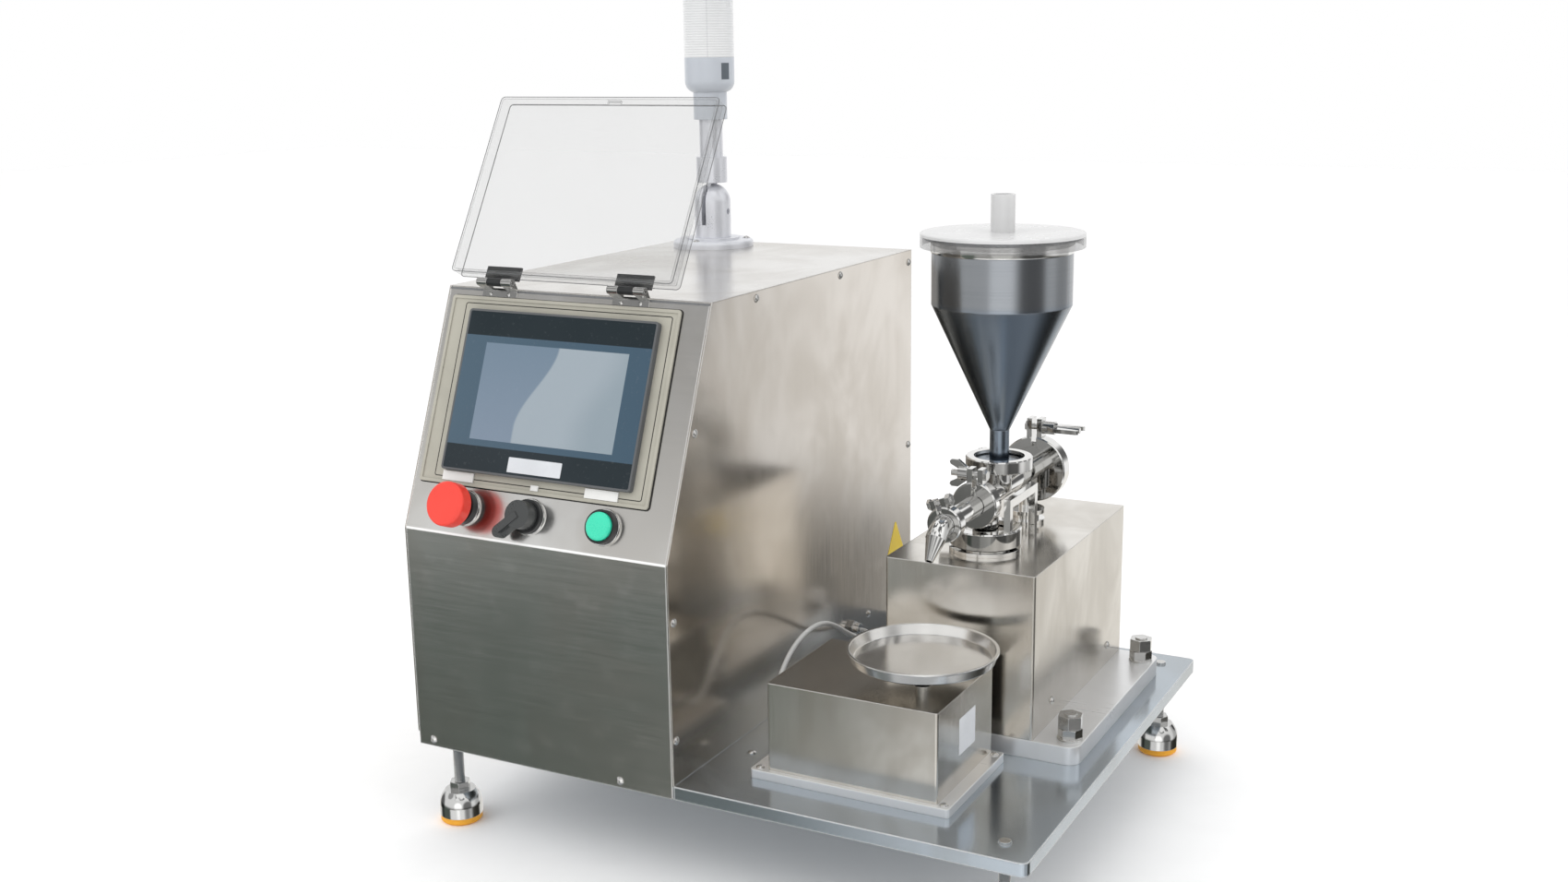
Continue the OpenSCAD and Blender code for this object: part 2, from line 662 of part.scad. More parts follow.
module drive_frame() seat() color("lightgray") {
  difference() {
    translate([pump_x - 40, screw_y - 37, drive_floor + 56]) cube([80, 74, 6]);
    translate([pump_x, screw_y, drive_floor + 50]) cylinder(h = 20, r = 6);
    for (s = [-1, 1]) translate([pump_x + s * 30, screw_y, drive_floor + 50]) cylinder(h = 20, r = 4);
  }
  for (s = [-1, 1]) translate([pump_x + s * 30, screw_y, drive_floor + 56]) cylinder(h = 85, r = 4 - eps);
  difference() {
    translate([pump_x - 38, screw_y - 12, drive_floor + 139]) cube([76, 24, 6]);
    translate([pump_x, screw_y, drive_floor + 130]) cylinder(h = 20, r = 4 + run);
    for (s = [-1, 1]) translate([pump_x + s * 30, screw_y, drive_floor + 130]) cylinder(h = 20, r = 4);
  }
}

module drive_screw() seat() color("silver")
  translate([pump_x, screw_y, drive_floor + 32]) cylinder(h = 112, r = 4);

carriage_z = 128;

module carriage() seat() color("lightsteelblue") difference() {
  union() {
    translate([pump_x - 38, screw_y - 13, carriage_z]) cube([76, 26, 18]);
    translate([pump_x - 8, seat_y - 8, carriage_z]) cube([16, screw_y - seat_y, 10]);
  }
  for (s = [-1, 0, 1]) translate([pump_x + s * 30, screw_y, carriage_z - 5]) cylinder(h = 40, r = 4 + run);
}

module piston() seat() color("white") translate([pump_x, seat_y, 0]) {
  translate([0, 0, carriage_z + 10]) cylinder(h = 42, r = 5);
  translate([0, 0, 178]) cylinder(h = 13, r = piston_r);
}

// ---------------------------------------------------------------- pump

module pump_cylinder() seat() color("silver") translate([pump_x, seat_y, 0]) rotate_extrude() polygon([
  [18, 142], [22, 142], [22, drive_top], [33, drive_top], [33, drive_top + 3.3], [22, drive_top + 3.3],
  [22, 191.5], [25.2, 191.5], [25.2, 194.4], [18, 194.4]
]);

module pump_body() seat() color("silver") difference() {
  union() {
    translate([pump_x, mid_y, tube_z]) rotate([-90, 0, 0]) cylinder(h = rear_y - mid_y, r = tube_r);
    translate([pump_x, mid_y, tube_z]) rotate([-90, 0, 0]) cylinder(h = 2.4, r = 14.8);
    translate([pump_x, rear_y - 2.9, tube_z - 1]) rotate([-90, 0, 0]) cylinder(h = 2.9, r = 25);
    translate([pump_x, seat_y, 194.4]) cylinder(h = 2.9, r = 25.2);
    translate([pump_x, seat_y, 194.4]) cylinder(h = tube_z - 194.4, r = 12);
    translate([pump_x, hop_y, tube_z]) cylinder(h = hop_clamp_z - tube_z, r = 12);
    translate([pump_x, hop_y, hop_clamp_z - 1.9]) cylinder(h = 1.9, r = 25);
  }
  translate([pump_x, mid_y - 1, tube_z]) rotate([-90, 0, 0]) cylinder(h = 11, r = 7.5);
  translate([pump_x, mid_y + 9, tube_z]) rotate([-90, 0, 0]) cylinder(h = 6, r = 4);
  translate([pump_x, mid_y + 13, tube_z]) rotate([-90, 0, 0]) cylinder(h = 25, r = 7.5);
  translate([pump_x, mid_y + 37, tube_z]) rotate([-90, 0, 0]) cylinder(h = 5, r = 4);
  translate([pump_x, mid_y + 41, tube_z]) rotate([-90, 0, 0]) cylinder(h = 200, r = 7.5);
  translate([pump_x, seat_y, 190]) cylinder(h = tube_z - 190, r = 7.4);
  translate([pump_x, hop_y, tube_z]) cylinder(h = 12, r = 7.4);
  translate([pump_x, hop_y, tube_z + 11]) cylinder(h = 40, r = 9.1);
}

module inlet_poppet() seat() color("white") translate([pump_x, mid_y + 34.8, tube_z]) rotate([-90, 0, 0]) {
  cylinder(h = 3, r = 6.5);
  translate([0, 0, 2]) cylinder(h = 9, r = 2);
}

module outlet_poppet() seat() color("white") translate([pump_x, mid_y + 6.8, tube_z]) rotate([-90, 0, 0]) {
  cylinder(h = 3, r = 6.5);
  translate([0, 0, 2]) cylinder(h = 9, r = 2);
}

// Nozzle: a short straight neck, a bend and a tapered tip
elbow_r = 24;
elbow_a = 48;
nozzle_r = 9;
tip_r = 3.6;
tip_len = 21;

module at_elbow() translate([pump_x, front_y - 6, tube_z - elbow_r]) rotate([180, -90, 0]) children();
module at_tip() at_elbow() rotate([0, 0, elbow_a]) translate([elbow_r, -0.5, 0]) rotate([-90, 0, 0])
  children();

module outlet_nozzle() seat() color("silver") {
  translate([pump_x, front_y + 0.4, tube_z]) rotate([-90, 0, 0]) rotate_extrude() polygon([
    [7.5, 0], [12.5, 0], [12.5, 1.6], [tube_r, 1.6], [tube_r, mid_y - front_y - 2.8],
    [14.8, mid_y - front_y - 2.8],
    [14.8, mid_y - front_y - 0.4], [7.5, mid_y - front_y - 0.4]
  ]);
  difference() {
    union() {
      translate([pump_x, front_y, tube_z]) rotate([90, 0, 0]) cylinder(h = 1.8, r = 12.5);
      translate([pump_x, front_y, tube_z]) rotate([90, 0, 0]) cylinder(h = 6.6, r = nozzle_r + 0.5);
      at_elbow() rotate_extrude(angle = elbow_a) translate([elbow_r, 0]) circle(nozzle_r);
      at_tip() cylinder(h = tip_len + 0.5, r1 = nozzle_r - 0.3, r2 = tip_r);
    }
    translate([pump_x, front_y + 1, tube_z]) rotate([90, 0, 0]) cylinder(h = 7.4, r = 6.5);
    at_elbow() rotate_extrude(angle = elbow_a) translate([elbow_r, 0]) circle(6.3);
    at_tip() translate([0, 0, -0.4]) cylinder(h = tip_len + 2, r1 = 6.1, r2 = tip_r - 1.2);
  }
}

// Clamps: where each sits and how it turns
module at_seat_clamp() translate([pump_x, seat_y, seat_clamp_z]) rotate([0, 0, 200]) children();
module at_hop_clamp() translate([pump_x, hop_y, hop_clamp_z]) rotate([0, 0, 125]) children();
module at_mid_clamp() translate([pump_x, mid_y, tube_z]) rotate([0, -90, 90]) children();
module at_rear_clamp() translate([pump_x, rear_y, tube_z - 1]) rotate([0, -90, 90]) children();
module at_front_clamp()
  translate([pump_x, front_y, tube_z]) rotate([0, -90, 90]) rotate([0, 0, 20]) children();

module pipe_clamps() seat() color("gainsboro") {
  at_seat_clamp() pipe_clamp(33, 25.5, 22.4, 16, 9);
  at_hop_clamp() pipe_clamp(31, 25.3, 23.4, 12, 9);
  at_mid_clamp() pipe_clamp(21.5, 15.1, 9.9, 14, 12);
  at_rear_clamp() pipe_clamp(32, 25.3, 22, 16, 18);
  at_front_clamp() pipe_clamp(15.8, 12.8, 9.9, 12, 7);
}

// Clamp bolt across the ears: a head, a shank and, where no wing nut holds it, a hex nut
module clamp_bolt(reach, ear, tail, nut) translate([reach + ear / 2, 0, 0]) rotate([90, 0, 0]) {
  translate([0, 0, -7.5 - 3]) cylinder(h = 3, r = 5, $fn = 6);
  translate([0, 0, -8]) cylinder(h = 8 + tail, r = 3 - run);
  if (nut) translate([0, 0, 7.5]) cylinder(h = 4.5, r = 5.6, $fn = 6);
}

module clamp_bolts() seat() color("silver") {
  at_seat_clamp() clamp_bolt(33, 9, 13, true);
  at_hop_clamp() clamp_bolt(31, 9, 13, true);
  at_mid_clamp() mirror([0, 1, 0]) clamp_bolt(21.5, 12, 24, false);
  at_rear_clamp() clamp_bolt(32, 18, 44, false);
  at_front_clamp() clamp_bolt(15.8, 7, 13, true);
}

module wing_nut_mid() seat() color("silver")
  at_mid_clamp() mirror([0, 1, 0]) translate([27.5, 0, 0]) rotate([90, 0, 0]) translate([0, 0, 7.6])
    wing_nut(6.5, 9, 18, 12.5);

module wing_nut_rear() seat() color("silver")
  at_rear_clamp() translate([41, 0, 0]) rotate([90, 0, 0]) translate([0, 0, 7.6]) rotate(90)
    wing_nut(6.5, 12, 38, 12.5);

module pump_supports() seat() color("gainsboro") {
  translate([487.5, 237, 225]) cube([6, 72, 8]);
  translate([487.5, 237, 202.4]) cube([6, 7, 24]);
  translate([487.5, 302, drive_top]) cube([6, 7, 46]);
  translate([pump_x, rear_y, tube_z - 1]) rotate([-90, 0, 0]) cylinder(h = 2.9, r = 25);
  translate([pump_x, rest_y, drive_top]) cylinder(h = 3.3, r = 19);
  translate([pump_x, rest_y, drive_top + 3]) cylinder(h = 7, r = 14);
  translate([pump_x, rest_y, drive_top + 9.3]) cylinder(h = 4, r = 19);
  difference() {
    translate([pump_x, rest_y, drive_top + 13]) cylinder(h = 30, r = 6);
    translate([pump_x, rest_y - 20, tube_z]) rotate([-90, 0, 0]) cylinder(h = 60, r = tube_r + eps);
    translate([pump_x - 30, rest_y - 30, tube_z]) cube([60, 60, 60]);
  }
}

// ---------------------------------------------------------------- hopper

hop_top = 464;
cone_top = 402;
cone_foot = 286;
hop_foot = 239.2;

module hopper() seat() color([0.2, 0.24, 0.28]) translate([pump_x, hop_y, 0]) rotate_extrude() polygon([
  [9, cone_foot], [hop_r, cone_top], [hop_r, hop_top - 3], [hop_r + 7, hop_top - 3],
  [hop_r + 7, hop_top], [hop_r - 1.5, hop_top], [hop_r - 1.5, cone_top + 0.4], [7.2, cone_foot]
]);

module hopper_spout() seat() color([0.2, 0.24, 0.28]) translate([pump_x, hop_y, 0]) rotate_extrude() polygon([
  [7.2, hop_foot], [9, hop_foot], [9, hop_clamp_z], [25, hop_clamp_z], [25, hop_clamp_z + 1.9],
  [9, hop_clamp_z + 1.9], [9, cone_foot], [7.2, cone_foot]
]);

module hopper_lid() seat() color([0.95, 0.96, 0.97, 0.8]) translate([pump_x, hop_y, 0]) {
  rotate_extrude() polygon([
    [0, hop_top], [hop_r + 8.5, hop_top], [hop_r + 8.5, hop_top - 10], [hop_r + 10.5, hop_top - 10],
    [hop_r + 10.5, hop_top + 2], [hop_r + 9.5, hop_top + 3], [0, hop_top + 3]
  ]);
  translate([0, 0, hop_top + 2.5]) difference() {
    cylinder(h = 34, r = 11);
    translate([0, 0, 31.5]) cylinder(h = 6, r = 8.5);
  }
}

base_plate();
front_skin();
top_panel();
side_panel_left();
side_panel_right();
back_panel();
button_screws();
screen_frame();
lid_catches();
screen_housing();
screen_glass();
hinge_leaves();
hinge_pins();
lid_leaves();
control_lid();
switch_collars();
stop_stem();
stop_cap();
selector_knob();
start_button();
electrics();
power_inlet();
power_rocker();
tower_flange();
tower_bracket();
tower_collar();
tower_housing();
tower_lens();
tower_core();
foot_studs();
foot_domes();
foot_pads();
scale_plate();
scale_cover();
load_cell();
scale_post();
scale_dish();
cable_glands();
scale_cable();
drive_plate();
drive_bolts();
drive_housing();
drive_frame();
drive_motor();
drive_screw();
carriage();
piston();
pump_cylinder();
pump_body();
inlet_poppet();
outlet_poppet();
outlet_nozzle();
pipe_clamps();
clamp_bolts();
wing_nut_mid();
wing_nut_rear();
pump_supports();
hopper();
hopper_spout();
hopper_lid();
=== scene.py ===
import math
import bpy
import bmesh
from mathutils import Vector, Matrix


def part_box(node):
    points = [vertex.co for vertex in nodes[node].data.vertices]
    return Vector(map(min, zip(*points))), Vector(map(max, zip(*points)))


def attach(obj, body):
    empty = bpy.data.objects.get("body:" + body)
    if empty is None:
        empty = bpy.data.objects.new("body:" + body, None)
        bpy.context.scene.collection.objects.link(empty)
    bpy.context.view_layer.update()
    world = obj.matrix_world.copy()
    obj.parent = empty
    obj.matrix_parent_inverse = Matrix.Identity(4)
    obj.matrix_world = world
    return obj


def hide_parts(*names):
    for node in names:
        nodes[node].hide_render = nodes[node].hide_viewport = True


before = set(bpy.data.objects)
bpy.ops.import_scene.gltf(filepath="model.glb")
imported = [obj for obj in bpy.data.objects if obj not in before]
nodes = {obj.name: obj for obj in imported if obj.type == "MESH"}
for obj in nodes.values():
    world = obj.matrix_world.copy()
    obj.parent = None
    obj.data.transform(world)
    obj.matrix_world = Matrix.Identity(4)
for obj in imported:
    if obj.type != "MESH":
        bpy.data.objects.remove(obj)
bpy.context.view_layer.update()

# ------------------------------------------------------------------ frames
# Machine frame in mm: the cabinet's front bottom left corner, x right, y back, z up
MM = 1000
X, Y, Z = Vector((1, 0, 0)), Vector((0, 1, 0)), Vector((0, 0, 1))
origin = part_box("base_plate")[0]


def P(x, y, z):
    return origin + Vector((x, y, z)) / MM


# The sloped panel starts at the knee and goes back by PANEL_RUN over PANEL_RISE. PU, PV and PN point along
# it, up it and out of it
KNEE_Z = 210
PANEL_RUN = 83.5
PANEL_RISE = 210
TILT = math.atan2(PANEL_RUN, PANEL_RISE)
PU = X
PV = Vector((0, math.sin(TILT), math.cos(TILT)))
PN = Vector((0, -math.cos(TILT), math.sin(TILT)))


def on_panel(u, v, off):
    return P(0, 0, KNEE_Z) + (PU * u + PV * v + PN * off) / MM


# ------------------------------------------------------------------ camera
yaw, pitch, roll = math.radians(27.81), math.radians(-13.06), math.radians(-0.70)
fwd = Vector((-math.sin(yaw) * math.cos(pitch), math.cos(yaw) * math.cos(pitch), math.sin(pitch)))
side = Vector((math.cos(yaw), math.sin(yaw), 0))
up = side.cross(fwd)
right = side * math.cos(roll) + up * math.sin(roll)
over = up * math.cos(roll) - side * math.sin(roll)
cam_data = bpy.data.cameras.new("camera")
cam_data.lens = 38.56
cam_data.sensor_width = 36
cam_data.sensor_fit = "HORIZONTAL"
cam_data.shift_x = -0.0082
cam_data.shift_y = -0.0009
cam_data.clip_start = 0.01
cam_data.clip_end = 60
camera = bpy.data.objects.new("camera", cam_data)
turn = Matrix((right, over, -fwd)).transposed().to_4x4()
turn.translation = P(1001.2, -1133.0, 627.5)
camera.matrix_world = turn
bpy.context.scene.collection.objects.link(camera)
bpy.context.scene.camera = camera


# ------------------------------------------------------------------ mesh tools
def mesh_object(name, verts, faces, smooth=None):
    me = bpy.data.meshes.new(name)
    me.from_pydata([tuple(v) for v in verts], [], faces)
    me.update()
    bm = bmesh.new()
    bm.from_mesh(me)
    bmesh.ops.remove_doubles(bm, verts=bm.verts, dist=1e-7)
    bmesh.ops.recalc_face_normals(bm, faces=bm.faces)
    if smooth is not None:
        for f in bm.faces:
            f.smooth = True
        for e in bm.edges:
            if len(e.link_faces) == 2 and e.calc_face_angle(0) > math.radians(smooth):
                e.smooth = False
    bm.to_mesh(me)
    bm.free()
    obj = bpy.data.objects.new(name, me)
    bpy.context.scene.collection.objects.link(obj)
    return obj


def lathe(name, profile, at, axis, sides=64, smooth=35):
    """profile is a closed loop of (radius, height) in mm about axis, from at"""
    axis = axis.normalized()
    a = axis.orthogonal().normalized()
    b = axis.cross(a)
    verts, faces = [], []
    n = len(profile)
    for i in range(sides):
        t = 2 * math.pi * i / sides
        d = a * math.cos(t) + b * math.sin(t)
        for r, h in profile:
            verts.append(at + (d * r + axis * h) / MM)
    for i in range(sides):
        j = (i + 1) % sides
        for k in range(n):
            m = (k + 1) % n
            faces.append((i * n + k, j * n + k, j * n + m, i * n + m))
    return mesh_object(name, verts, faces, smooth)


def rounded(x0, y0, x1, y1, r, steps):
    """The corner points of a rounded rectangle: each point's arc centre and its direction from there"""
    line = []
    corners = (x1 - r, y0 + r, -90), (x1 - r, y1 - r, 0), (x0 + r, y1 - r, 90), (x0 + r, y0 + r, 180)
    for cx, cy, a0 in corners:
        for k in range(steps + 1):
            a = math.radians(a0 + 90 * k / steps)
            line.append((cx, cy, math.cos(a), math.sin(a)))
    return line


def slab(name, at, ex, ey, w, h, t, r, steps=5):
    """A thin plate w by h mm with rounded corners and a softened rim, its lower left corner at at"""
    ez = ex.cross(ey).normalized()
    ring = [(cx + r * dx, cy + r * dy) for cx, cy, dx, dy in rounded(0, 0, w, h, r, steps)]
    return plate(name, at, ex, ey, ez, ring, t)


def plate(name, at, ex, ey, ez, ring, t, lip=0.12):
    """A flat plate t mm thick with the outline ring, its upper rim drawn in and down by lip"""
    n = len(ring)
    mx = sum(p[0] for p in ring) / n
    my = sum(p[1] for p in ring) / n
    verts, faces = [], []
    for z, s in ((0, 0), (t - lip, 0), (t, lip)):
        for x, y in ring:
            k = 1 - s / max(1e-6, math.hypot(x - mx, y - my))
            verts.append(at + (ex * (mx + (x - mx) * k) + ey * (my + (y - my) * k) + ez * z) / MM)
    for lev in range(2):
        for i in range(n):
            j = (i + 1) % n
            faces.append((lev * n + i, lev * n + j, lev * n + n + j, lev * n + n + i))
    faces.append(tuple(range(n - 1, -1, -1)))
    faces.append(tuple(range(2 * n, 3 * n)))
    return mesh_object(name, verts, faces, 40)


def strip_loop(name, at, ex, ey, rect, r, wid, t, steps=5):
    """A closed bead wid mm wide and t mm high round a rectangle with rounded corners"""
    ez = ex.cross(ey).normalized()
    line = rounded(*rect, r, steps)
    half, flat, shoulder = wid / 2, wid / 4, t * 0.55
    prof = [(-half, 0), (-half, shoulder), (-flat, t), (flat, t), (half, shoulder), (half, 0)]
    verts, faces = [], []
    for cx, cy, dx, dy in line:
        for o, z in prof:
            verts.append(at + (ex * (cx + dx * (r + o)) + ey * (cy + dy * (r + o)) + ez * z) / MM)
    n, m = len(line), len(prof)
    for i in range(n):
        j = (i + 1) % n
        for k in range(m):
            q = (k + 1) % m
            faces.append((i * m + k, j * m + k, j * m + q, i * m + q))
    return mesh_object(name, verts, faces, 50)


def sweep(name, pts, radius, sides=16):
    """A round tube with closed ends along pts, with no twist"""
    verts, faces = [], []
    n = len(pts)
    ref = None
    for i, p in enumerate(pts):
        d = (pts[min(i + 1, n - 1)] - pts[max(i - 1, 0)]).normalized()
        if ref is None:
            ref = d.orthogonal().normalized()
        ref = (ref - d * ref.dot(d)).normalized()
        b = d.cross(ref)
        for k in range(sides):
            t = 2 * math.pi * k / sides
            verts.append(p + (ref * math.cos(t) + b * math.sin(t)) * radius)
    for i in range(n - 1):
        for k in range(sides):
            j = (k + 1) % sides
            faces.append((i * sides + k, i * sides + j, (i + 1) * sides + j, (i + 1) * sides + k))
    faces.append(tuple(range(sides - 1, -1, -1)))
    faces.append(tuple((n - 1) * sides + k for k in range(sides)))
    return mesh_object(name, verts, faces, 50)


def curved_patch(name, base, radius, a0, a1, h, t, steps=10):
    """A thin label h mm high wrapped round an upright cylinder from angle a0 to a1 degrees"""
    ring = []
    for r, turns in ((radius, range(steps + 1)), (radius + t, range(steps, -1, -1))):
        for k in turns:
            a = math.radians(a0 + (a1 - a0) * k / steps)
            ring.append((r * math.cos(a), r * math.sin(a)))
    n = len(ring)
    verts = [base + Vector((x, y, z)) / MM for z in (0, h) for x, y in ring]
    faces = [(i, (i + 1) % n, n + (i + 1) % n, n + i) for i in range(n)]
    for lev in (0, n):
        faces += [(lev + k, lev + k + 1, lev + n - 2 - k, lev + n - 1 - k) for k in range(steps)]
    return mesh_object(name, verts, faces, 40)


def spline(pts, steps):
    out = []
    n = len(pts)
    for i in range(n - 1):
        a, b, c, d = pts[max(i - 1, 0)], pts[i], pts[i + 1], pts[min(i + 2, n - 1)]
        for k in range(steps):
            t = k / steps
            out.append(0.5 * ((2 * b) + (c - a) * t + (2 * a - 5 * b + 4 * c - d) * t ** 2
                              + (3 * b - a - 3 * c + d) * t ** 3))
    out.append(pts[-1])
    return out


# ------------------------------------------------------------------ node tools
class Nodes:
    """Short names for the shader nodes that every material and the world are made of"""

    def __init__(self, tree):
        self.t = tree
        self.t.nodes.clear()

    def add(self, kind, **props):
        n = self.t.nodes.new("ShaderNode" + kind)
        for k, v in props.items():
            setattr(n, k, v)
        return n

    def link(self, a, b):
        self.t.links.new(a, b)

    def feed(self, socket, value):
        if isinstance(value, bpy.types.NodeSocket):
            self.link(value, socket)
        else:
            socket.default_value = value

    def range(self, x, a, b, c, d, smooth=False):
        n = self.add("MapRange", interpolation_type="SMOOTHSTEP" if smooth else "LINEAR")
        for key, v in (("Value", x), ("From Min", a), ("From Max", b), ("To Min", c), ("To Max", d)):
            self.feed(n.inputs[key], v)
        return n.outputs["Result"]

    def ramp(self, x, a, b):
        """A smooth step from 0 where x is a to 1 where it is b"""
        return self.range(x, a, b, 0.0, 1.0, True)

    def math(self, op, a, b=0.0):
        n = self.add("Math", operation=op)
        self.feed(n.inputs[0], a)
        self.feed(n.inputs[1], b)
        return n.outputs[0]

    def times(self, first, *others):
        for x in others:
            first = self.math("MULTIPLY", first, x)
        return first

    def mix(self, f, a, b):
        n = self.add("Mix", data_type="RGBA")
        self.feed(n.inputs[0], f)
        for i, c in ((6, a), (7, b)):
            self.feed(n.inputs[i], (*c, 1.0) if isinstance(c, tuple) and len(c) == 3 else c)
        return n.outputs[2]

    def dot_with(self, source, vec):
        n = self.add("VectorMath", operation="DOT_PRODUCT")
        self.link(source, n.inputs[0])
        n.inputs[1].default_value = tuple(vec)
        return n.outputs["Value"]


class Mat(Nodes):
    """A material round one Principled shader"""

    def __init__(self, name):
        self.m = bpy.data.materials.new(name)
        self.m.use_nodes = True
        super().__init__(self.m.node_tree)
        self.b = self.add("BsdfPrincipled")
        self.link(self.b.outputs["BSDF"], self.add("OutputMaterial").inputs["Surface"])
        self.pos = self.add("TexCoord").outputs["Object"]
        self.base_normal = None

    def set(self, **vals):
        for k, v in vals.items():
            self.feed(self.b.inputs[k.replace("_", " ")], v)

    def noise(self, scale, stretch=(1, 1, 1), detail=3.0, rough=0.5, turn=(0, 0, 0), distort=0.0):
        mp = self.add("Mapping")
        mp.inputs["Scale"].default_value = stretch
        mp.inputs["Rotation"].default_value = turn
        self.link(self.pos, mp.inputs["Vector"])
        n = self.add("TexNoise")
        n.inputs["Scale"].default_value = scale
        n.inputs["Detail"].default_value = detail
        n.inputs["Roughness"].default_value = rough
        n.inputs["Distortion"].default_value = distort
        self.link(mp.outputs[0], n.inputs["Vector"])
        return n.outputs["Fac"]

    def along(self, vec, zero=Vector((0, 0, 0))):
        """Distance in mm along vec from the point zero"""
        d = self.math("SUBTRACT", self.dot_with(self.pos, vec), Vector(vec).dot(zero))
        return self.math("MULTIPLY", d, float(MM))

    def span(self, x, a, b, soft):
        """1 where x is between a and b, 0 elsewhere"""
        return self.times(self.ramp(x, a - soft, a + soft),
                          self.range(x, b - soft, b + soft, 1.0, 0.0, True))

    def edge(self, radius, samples=4):
        """Softens the shading of sharp edges, and returns where they are, 0 to 1"""
        bev = self.add("Bevel", samples=samples)
        bev.inputs["Radius"].default_value = radius
        dot = self.add("VectorMath", operation="DOT_PRODUCT")
        self.link(bev.outputs["Normal"], dot.inputs[0])
        self.link(self.add("NewGeometry").outputs["Normal"], dot.inputs[1])
        self.base_normal = bev.outputs["Normal"]
        return self.range(dot.outputs["Value"], 0.995, 0.80, 0.0, 1.0)

    def bump(self, height, strength, distance):
        n = self.add("Bump")
        n.inputs["Strength"].default_value = strength
        n.inputs["Distance"].default_value = distance
        self.link(height, n.inputs["Height"])
        if self.base_normal is not None:
            self.link(self.base_normal, n.inputs["Normal"])
        self.base_normal = n.outputs["Normal"]
        self.link(n.outputs["Normal"], self.b.inputs["Normal"])

    def ripple(self, x, pitch):
        return self.math("SINE", self.math("MULTIPLY", x, 2 * math.pi / pitch))


def grey(v):
    return (v, v, v)


def shade(colour, k):
    return tuple(min(1.0, c * k) for c in colour)


# ------------------------------------------------------------------ material makers
def steel(name, base, rough, grain=(1, 1, 60), edge=0.0012, wave=0.10, vary=0.14, tint=(0.97, 0.95, 0.92),
          bright=0.62, cloud=8.0, mark=0.06, matt_edge_highlight=0.0, metal=1.0, fold=None):
    """Satin sheet or bar: cloudy patches, faint grain, handling marks and bright edges

    mark is the strength of grain and marks, metal the metallic share. The bright edges are partly wear and
    partly painted
    highlight: matt_edge_highlight is how matt they are, so that they show white, and fold a point at the
    height of a painted highlight line along the fold.
    """
    m = Mat(name)
    edge_wear_and_highlight = m.edge(edge)
    # Painted highlight: a bright line along the fold, where one is given
    if fold:
        edge_wear_and_highlight = m.math("MAXIMUM", edge_wear_and_highlight, m.span(m.along(Z, fold), -1.3, 0.9, 0.5))
    lines = m.noise(16.0, grain, 4.0, 0.6)
    clouds = m.noise(cloud, (1, 1, 0.8), 3.0, 0.55, distort=0.5)
    marks = m.noise(42.0, (1, 1, 1), 5.0, 0.62)
    dark = tuple(b * t * (1 - vary) for b, t in zip(base, tint))
    col = m.mix(m.ramp(clouds, 0.34, 0.66), dark, base)
    col = m.mix(m.range(lines, 0.35, 0.70, mark, 0.0), col, shade(base, 0.82))
    col = m.mix(m.range(marks, 0.60, 0.78, 0.0, mark), col, shade(dark, 0.78))
    # Painted highlight: the edges are whitened, partly for wear
    col = m.mix(m.times(edge_wear_and_highlight, bright), col, (0.93, 0.93, 0.92))
    r = m.math("ADD", m.range(lines, 0.25, 0.75, rough - 0.02, rough + 0.02),
               m.range(clouds, 0.3, 0.7, 0.03, -0.02))
    r = m.math("ADD", r, m.range(marks, 0.55, 0.80, 0.0, mark * 0.8))
    # Where the edges are made matt they lose their metal and show white, a painted highlight
    shine = m.range(edge_wear_and_highlight, 0.0, 1.0, metal, metal * (1 - matt_edge_highlight)) if matt_edge_highlight else metal
    m.set(Base_Color=col, Metallic=shine, Roughness=r)
    m.bump(m.noise(cloud, (1, 1, 0.8), 1.0, 0.4), wave, 0.004)
    return m.m


def polish(name, base, rough, edge=0.0006, wave=0.03, thread=None, vary=0.10, swirl_mix=0.12, bright=0.5,
           painted_front_shade=0.0):
    """Turned or cast steel polished bright, with swirl marks

    painted_front_shade is how much painted shade darkens the faces that look to the machine's front, standing
    in for the dark room they mirror. thread is a screw's pitch and the heights that it starts and ends at.
    """
    m = Mat(name)
    edge_wear_and_highlight = m.edge(edge)
    swirl = m.noise(60.0, (1, 1, 1), 4.0, 0.6, distort=1.2)
    soft = m.noise(18.0, (1, 1, 1), 2.0, 0.5)
    col = m.mix(m.ramp(soft, 0.30, 0.72), shade(base, 1 - vary), base)
    col = m.mix(m.range(swirl, 0.56, 0.76, 0.0, swirl_mix), col, shade(base, 0.7))
    # Painted shade: faces that look to the machine's front are darkened, standing in for the dark room they
    # mirror
    if painted_front_shade:
        front = m.dot_with(m.add("NewGeometry").outputs["Normal"], (-0.25, -0.97, 0.0))
        col = m.mix(m.range(front, 0.45, 0.92, 0.0, painted_front_shade, True), col, (0.07, 0.07, 0.065))
    # Painted highlight: the edges are whitened, partly for wear
    col = m.mix(m.times(edge_wear_and_highlight, bright), col, (0.93, 0.93, 0.92))
    r = m.math("ADD", m.range(swirl, 0.35, 0.75, rough - 0.01, rough + 0.04),
               m.range(soft, 0.3, 0.7, 0.0, 0.02))
    m.set(Base_Color=col, Metallic=1.0, Roughness=r)
    m.bump(soft, wave, 0.002)
    if thread:
        pitch, lo, hi = thread
        z = m.along(Z)
        m.bump(m.times(m.ripple(z, pitch), m.span(z, lo, hi, 0.1)), 0.8, 0.0006)
    return m.m


